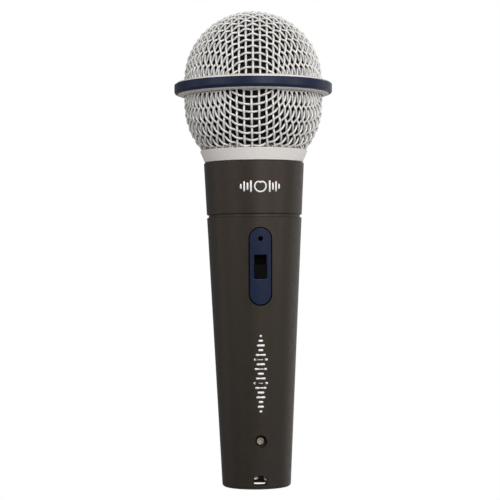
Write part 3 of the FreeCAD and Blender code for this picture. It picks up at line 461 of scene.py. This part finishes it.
def wire_line(crossings, sign):
    """Directions along a wire and how far it rises off the middle of the weave at each, as -1 to 1."""
    padded = np.vstack([2 * crossings[0] - crossings[1], crossings, 2 * crossings[-1] - crossings[-2]])
    a, b, c, d = (padded[k : len(padded) - 3 + k, None, :] for k in range(4))
    t = (np.arange(WIRE_STEPS) / WIRE_STEPS)[None, :, None]
    curve = 0.5 * (2 * b + (c - a) * t + (2 * a - 5 * b + 4 * c - d) * t ** 2
                   + (3 * b - a - 3 * c + d) * t ** 3)
    signs = sign * (-1.0) ** np.arange(len(crossings) - 1)
    rise = signs[:, None] * np.cos(math.pi * t[0, :, 0])[None, :]
    curve = curve.reshape(-1, 3)
    return curve / np.linalg.norm(curve, axis=1)[:, None], rise.ravel()


def on_ball(directions, rise):
    """Places and outward normals on a half ball about the origin, which goes on below its middle as
    a straight skirt."""
    level = directions.copy()
    level[:, 2] = 0
    level /= np.maximum(np.linalg.norm(level, axis=1), 1e-9)[:, None]
    above = (directions[:, 2] >= 0)[:, None]
    skirt = level * BALL_RADIUS
    skirt[:, 2] = np.arcsin(directions[:, 2]) * BALL_RADIUS
    normals = np.where(above, directions, level)
    places = np.where(above, directions * BALL_RADIUS, skirt)
    return places + normals * (rise * WIRE_RADIUS)[:, None], normals


def tube(points, normals, first):
    """A closed round tube along points; first is the number of its first vertex."""
    along = np.gradient(points, axis=0)
    along /= np.linalg.norm(along, axis=1)[:, None]
    side = np.cross(along, normals)
    side /= np.linalg.norm(side, axis=1)[:, None]
    up = np.cross(side, along)
    turns = np.arange(WIRE_SIDES) * 2 * math.pi / WIRE_SIDES
    ring = (np.cos(turns)[None, :, None] * side[:, None, :]
            + np.sin(turns)[None, :, None] * up[:, None, :])
    vertices = (points[:, None, :] + ring * WIRE_RADIUS).reshape(-1, 3)
    faces = []
    for k in range(len(points) - 1):
        low = first + k * WIRE_SIDES
        for s in range(WIRE_SIDES):
            after = (s + 1) % WIRE_SIDES
            faces.append((low + s, low + after, low + WIRE_SIDES + after, low + WIRE_SIDES + s))
    last = first + (len(points) - 1) * WIRE_SIDES
    faces.append(tuple(first + s for s in reversed(range(WIRE_SIDES))))
    faces.append(tuple(last + s for s in range(WIRE_SIDES)))
    return vertices, faces


def make_weave(name, node, centre, side, cloth, material):
    """One half of the ball as real woven wire. side is 1 for the dome and -1 for the bowl."""
    low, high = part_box(node)
    spin = np.array(Matrix.Rotation(math.radians(cloth["turn"] - 90), 3, "Z"))
    vertices, faces, count = [], [], 0
    for crossings, sign in net_wires(weave_net(cloth)):
        points, normals = on_ball(*wire_line(crossings, sign))
        points[:, 2] = points[:, 2] * side + centre
        normals[:, 2] *= side
        points, normals = points @ spin.T, normals @ spin.T
        top = high.z - WIRE_MARGIN * (side < 0)
        inside = (points[:, 2] > low.z + WIRE_MARGIN) & (points[:, 2] < top)
        edges = np.flatnonzero(np.diff(np.concatenate([[0], inside.astype(int), [0]])))
        for start, end in zip(edges[::2], edges[1::2]):
            if end - start < SHORTEST_WIRE:
                continue
            ring, quads = tube(points[start:end], normals[start:end], count)
            vertices.append(ring)
            faces += quads
            count += len(ring)
    return new_piece(name, np.vstack(vertices), faces, material, "grille_head", [node])


# ---------------------------------------------------------------- foam


def make_foam(material):
    """Foam lining with an uneven, porous outside: round at both ends, straight between, and open at
    the foot, with a thin lip round a bore."""
    inner = FOAM_RADIUS - FOAM_THICKNESS
    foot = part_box("windscreen_foam")[0].z
    # rows of points up the outside of the bowl, wall and dome, then down the inside of dome and bowl
    bowl_rows, wall_rows, dome_rows, inner_dome_rows, inner_bowl_rows = 24, 12, 60, 20, 8
    # each row as radius, angle above level and height of the centre
    outline = []
    sweep = math.asin((BOWL_CENTRE - foot) / FOAM_RADIUS)
    for k in range(bowl_rows):
        turn = -sweep + sweep * k / bowl_rows
        outline.append((FOAM_RADIUS, turn, BOWL_CENTRE))
    for k in range(wall_rows):
        outline.append((FOAM_RADIUS, 0, BOWL_CENTRE + (DOME_CENTRE - BOWL_CENTRE) * k / wall_rows))
    for k in range(dome_rows):
        outline.append((FOAM_RADIUS, math.pi / 2 * k / dome_rows, DOME_CENTRE))
    outside = len(outline)
    for k in range(1, inner_dome_rows):
        outline.append((inner, math.pi / 2 * (1 - k / inner_dome_rows), DOME_CENTRE))
    sweep = math.acos(FOAM_BORE / inner)
    for k in range(inner_bowl_rows + 1):
        outline.append((inner, -sweep * k / inner_bowl_rows, BOWL_CENTRE))
    outline.append((FOAM_BORE, 0, foot))
    points = []
    for row, (radius, turn, centre) in enumerate(outline):
        for k in range(FOAM_AROUND):
            angle = 2 * math.pi * k / FOAM_AROUND
            out = Vector((math.cos(turn) * math.cos(angle), math.cos(turn) * math.sin(angle),
                          math.sin(turn)))
            place = out * radius + Vector((0, 0, centre))
            if 0 < row < outside:
                lumps = noise.noise(place / LARGE_LUMP) + 0.6 * noise.noise(place / SMALL_LUMP)
                place -= out * (LUMP_DEPTH * (1 + lumps))
            points.append(place)
    rows = len(outline)
    faces = []
    for row in range(rows):
        here, above = row * FOAM_AROUND, (row + 1) % rows * FOAM_AROUND
        for k in range(FOAM_AROUND):
            after = (k + 1) % FOAM_AROUND
            faces.append((here + k, here + after, above + after, above + k))
    foam = new_piece("foam_lining", points, faces, material, "foam", ["windscreen_foam"])
    return foam


# ---------------------------------------------------------------- painted shade in the gap round the switch plate


def make_plate_gap_shade(material):
    """A thin near-black strip at the bottom of the gap between the switch plate and its recess:
    painted shade for the gap. It follows the curve of the handle, and stays clear of the plate and the
    recess."""
    slack, below, half_turn = 0.03 * MM, 0.12 * MM, 24
    inner = PLATE_WIDTH / 2 + slack
    outer = PLATE_WIDTH / 2 + PLATE_GAP - slack
    straight = (PLATE_LENGTH - PLATE_WIDTH) / 2
    lean = Matrix.Rotation(math.radians(PLATE_LEAN), 3, "X")
    handle_radius = -PLATE_CENTRE.y
    points = []
    for side in (1, -1):
        for k in range(half_turn + 1):
            turn = math.pi * k / half_turn
            for radius in (inner, outer):
                across = side * math.cos(turn) * radius
                along = side * (math.sin(turn) * radius + straight)
                surface = handle_radius - math.sqrt(handle_radius ** 2 - across ** 2)
                for depth in (surface + below, PLATE_DEPTH - slack):
                    points.append(PLATE_CENTRE + lean @ Vector((across, depth, along)))
    stations = 2 * (half_turn + 1)
    faces = []
    for k in range(stations):
        here, after = 4 * k, 4 * ((k + 1) % stations)
        for a, b in ((0, 2), (2, 3), (3, 1), (1, 0)):
            faces.append((here + a, here + b, after + b, after + a))
    return new_piece("plate_gap_shade", points, faces, material, "handle", ())


# ---------------------------------------------------------------- printed marks


def cone_radius(height):
    return RIM_RADIUS + TAPER * height


def printed(name, shapes, centre_height, material):
    """Flat shapes laid on the front of the handle as a thin film of ink. A shape is a closed list of
    (across, up) points about the centre, and is filled from its middle."""
    points, faces = [], []
    for shape in shapes:
        first = len(points)
        middle = np.mean(shape, axis=0)
        for across, up in [tuple(middle)] + list(shape):
            height = centre_height + up
            radius = cone_radius(height)
            for level in (INK, -INK):
                points.append(from_axis(math.degrees(across / radius), radius + level, height))
        count = len(shape)
        for k in range(count):
            a, b = first + 2 + 2 * k, first + 2 + 2 * ((k + 1) % count)
            faces += [(first, a, b), (a, a + 1, b + 1, b), (first + 1, b + 1, a + 1)]
    return new_piece(name, points, faces, material, "handle", ())


def bar(across, up, width, height):
    """A round-ended bar as a closed outline about a point."""
    radius = min(width, height) / 2
    corners = 24
    outline = []
    for k in range(corners):
        turn = 2 * math.pi * (k + 0.5) / corners
        x, y = math.cos(turn) * radius, math.sin(turn) * radius
        x += math.copysign(width / 2 - radius, x)
        y += math.copysign(height / 2 - radius, y)
        outline.append((across + x, up + y))
    return outline


def ribbon(line, width):
    """A closed line as a row of four-cornered pieces of a width."""
    shapes = []
    for k, here in enumerate(line):
        there = line[(k + 1) % len(line)]
        before, after = line[k - 1], line[(k + 2) % len(line)]
        corners = []
        for spot, a, b in ((here, before, there), (there, here, after)):
            along = (Vector(b) - Vector(a)).normalized()
            side = Vector((-along.y, along.x)) * width / 2
            corners.append((Vector(spot) + side, Vector(spot) - side))
        (a, b), (c, d) = corners
        shapes.append([tuple(b), tuple(d), tuple(c), tuple(a)])
    return shapes


def make_prints(material):
    """A heart-shaped pick-up pattern between level bars, and a tall row of level bars."""
    size, line_width = 1.55 * MM, 0.5 * MM
    corners = 48
    heart = []
    for k in range(corners):
        turn = 2 * math.pi * (k + 0.5) / corners
        reach = size * (1 + math.cos(turn))
        heart.append((reach * math.sin(turn), 0.8 * size - reach * math.cos(turn)))
    shapes = ribbon(heart, line_width)
    first, apart, bar_width = 3.35, 1.2, 0.62 * MM
    for side in (-1, 1):
        for k, height in enumerate((4.1, 2.6, 3.6, 1.8)):
            shapes.append(bar(side * (first + apart * k) * MM, 0, bar_width, height * MM))
    printed("sleeve_mark", shapes, SLEEVE_MARK_HEIGHT, material)

    widths = (0.8, 1.6, 2.8, 1.8, 3.6, 5.0, 3.0, 4.4, 2.2, 3.4, 5.2, 4.0, 2.4, 3.2, 1.6, 2.2, 1.0)
    step, bar_height = 1.66 * MM, 0.72 * MM
    rows = []
    for k, width in enumerate(widths):
        rows.append(bar(0, (len(widths) / 2 - 0.5 - k) * step, width * MM, bar_height))
    printed("level_mark", rows, LEVEL_MARK_HEIGHT, material)


# ---------------------------------------------------------------- build


def main():
    make_camera()
    make_stage()
    finishes = make_finishes()
    finish_cad_nodes(finishes)
    wire = finishes["mesh_wire"]
    make_weave("dome_weave", "grille_dome_mesh", DOME_CENTRE, 1, DOME_NET, wire)
    make_weave("bowl_weave", "grille_bowl_mesh", BOWL_CENTRE, -1, BOWL_NET, wire)
    make_foam(finishes["foam_black"])
    # A dark strip paints the shade in the gap round the switch plate.
    make_plate_gap_shade(finishes["gap_shade_black"])
    make_prints(finishes["print_white"])


main()
